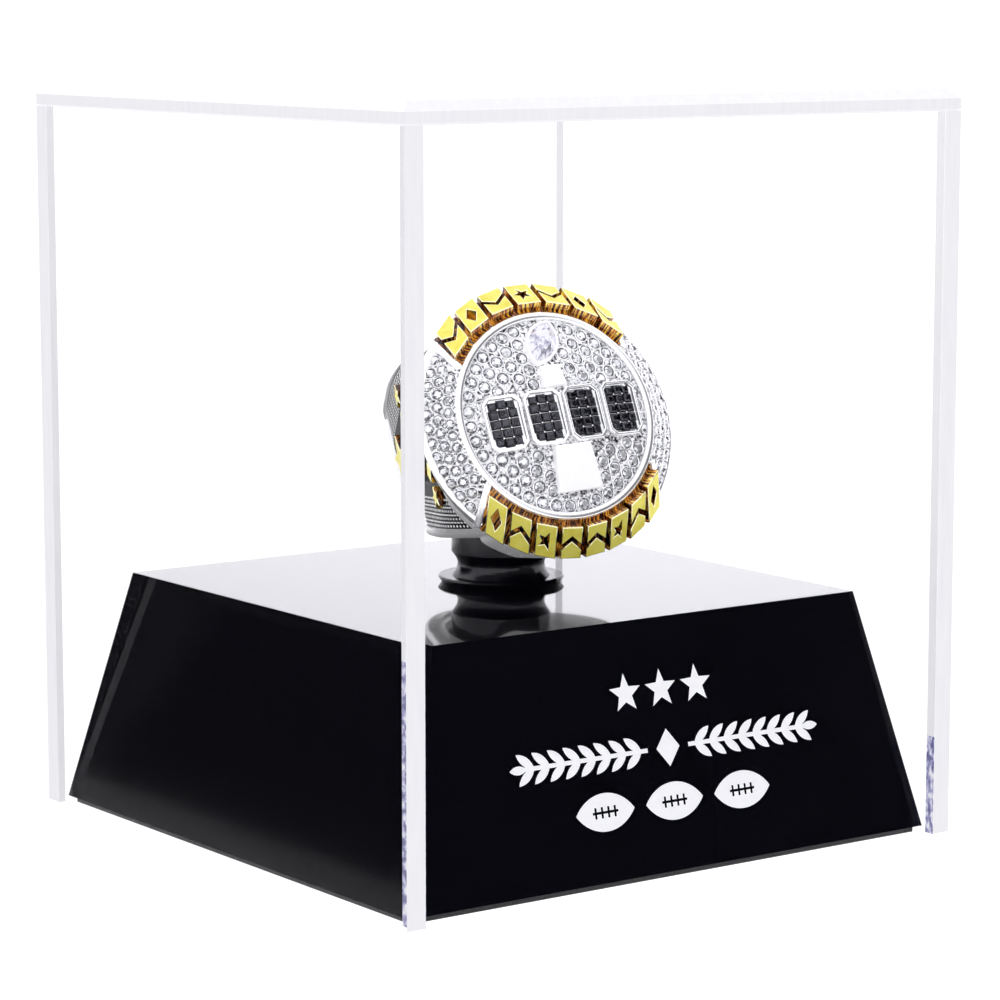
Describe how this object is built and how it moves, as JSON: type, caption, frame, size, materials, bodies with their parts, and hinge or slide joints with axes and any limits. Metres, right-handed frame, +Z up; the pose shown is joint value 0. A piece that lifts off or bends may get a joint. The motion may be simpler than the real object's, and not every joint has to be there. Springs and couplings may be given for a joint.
{
  "type": "ring display case",
  "caption": "Clear square cover over a black tapered base, with a swivelling holder that carries a large ornamental finger ring on a leaning finger.",
  "frame": {"origin": "centre of the case's square footprint, on the surface it stands on", "axes": "+Z up, -Y towards the side with the engraved rows, -X towards the left side seen from the front"},
  "size_m": [0.08, 0.08, 0.09],
  "materials": {
    "clear_acrylic": "polished clear sheet with bright edges",
    "black_acrylic": "mirror gloss",
    "black_board": "matte",
    "zinc_steel": "zinc plated",
    "felt": "felted",
    "white_fill": "satin paint in the engraving",
    "nylon": "satin",
    "holder_plastic": "gloss moulded",
    "rubber": "smooth",
    "silver_plate": "polished",
    "gold_plate": "polished",
    "amber_enamel": "translucent amber over gold",
    "black_enamel": "satin",
    "clear_crystal": "faceted",
    "black_crystal": "faceted"
  },
  "bodies": {
    "base": {"base_top_panel": "black_acrylic", "base_front_panel": "black_acrylic", "base_back_panel": "black_acrylic", "base_left_panel": "black_acrylic", "base_right_panel": "black_acrylic", "base_floor": "black_board", "corner_blocks": "black_board", "floor_screws": "zinc_steel", "felt_pad": "felt", "star_inlay": "white_fill", "laurel_inlay": "white_fill", "football_inlay": "white_fill", "swivel_washer": "nylon"},
    "cover": {"cover_top": "clear_acrylic", "cover_front": "clear_acrylic", "cover_back": "clear_acrylic", "cover_left": "clear_acrylic", "cover_right": "clear_acrylic"},
    "holder": {"holder_body": "holder_plastic", "finger_bands": "rubber", "retaining_washer": "zinc_steel", "retaining_nut": "zinc_steel"},
    "ring": {"ring_casting": "silver_plate", "face_rim": "silver_plate", "face_stones": "clear_crystal", "plaque_frames": "silver_plate", "black_stones": "black_crystal", "marquise_stone": "clear_crystal", "pedestal_relief": "silver_plate", "upper_ground": "amber_enamel", "lower_ground": "amber_enamel", "upper_blocks": "gold_plate", "lower_blocks": "gold_plate", "left_pave_panel": "silver_plate", "right_pave_panel": "silver_plate", "pave_stones": "clear_crystal", "shank_panels": "black_enamel", "shank_ornaments": "gold_plate"}
  },
  "joints": [
    {"name": "cover_lift", "type": "slide", "parent": "base", "child": "cover", "axis": [0, 0, 1], "range_m": [0, 0.1]},
    {"name": "holder_swivel", "type": "hinge", "parent": "base", "child": "holder", "pos_m": [0.001, 0, 0.0295], "axis": [0, 0, 1], "range_deg": [-180, 180]},
    {"name": "ring_lift", "type": "slide", "parent": "holder", "child": "ring", "axis": [0, 0.3987, 0.9171], "range_m": [0, 0.022]}
  ]
}
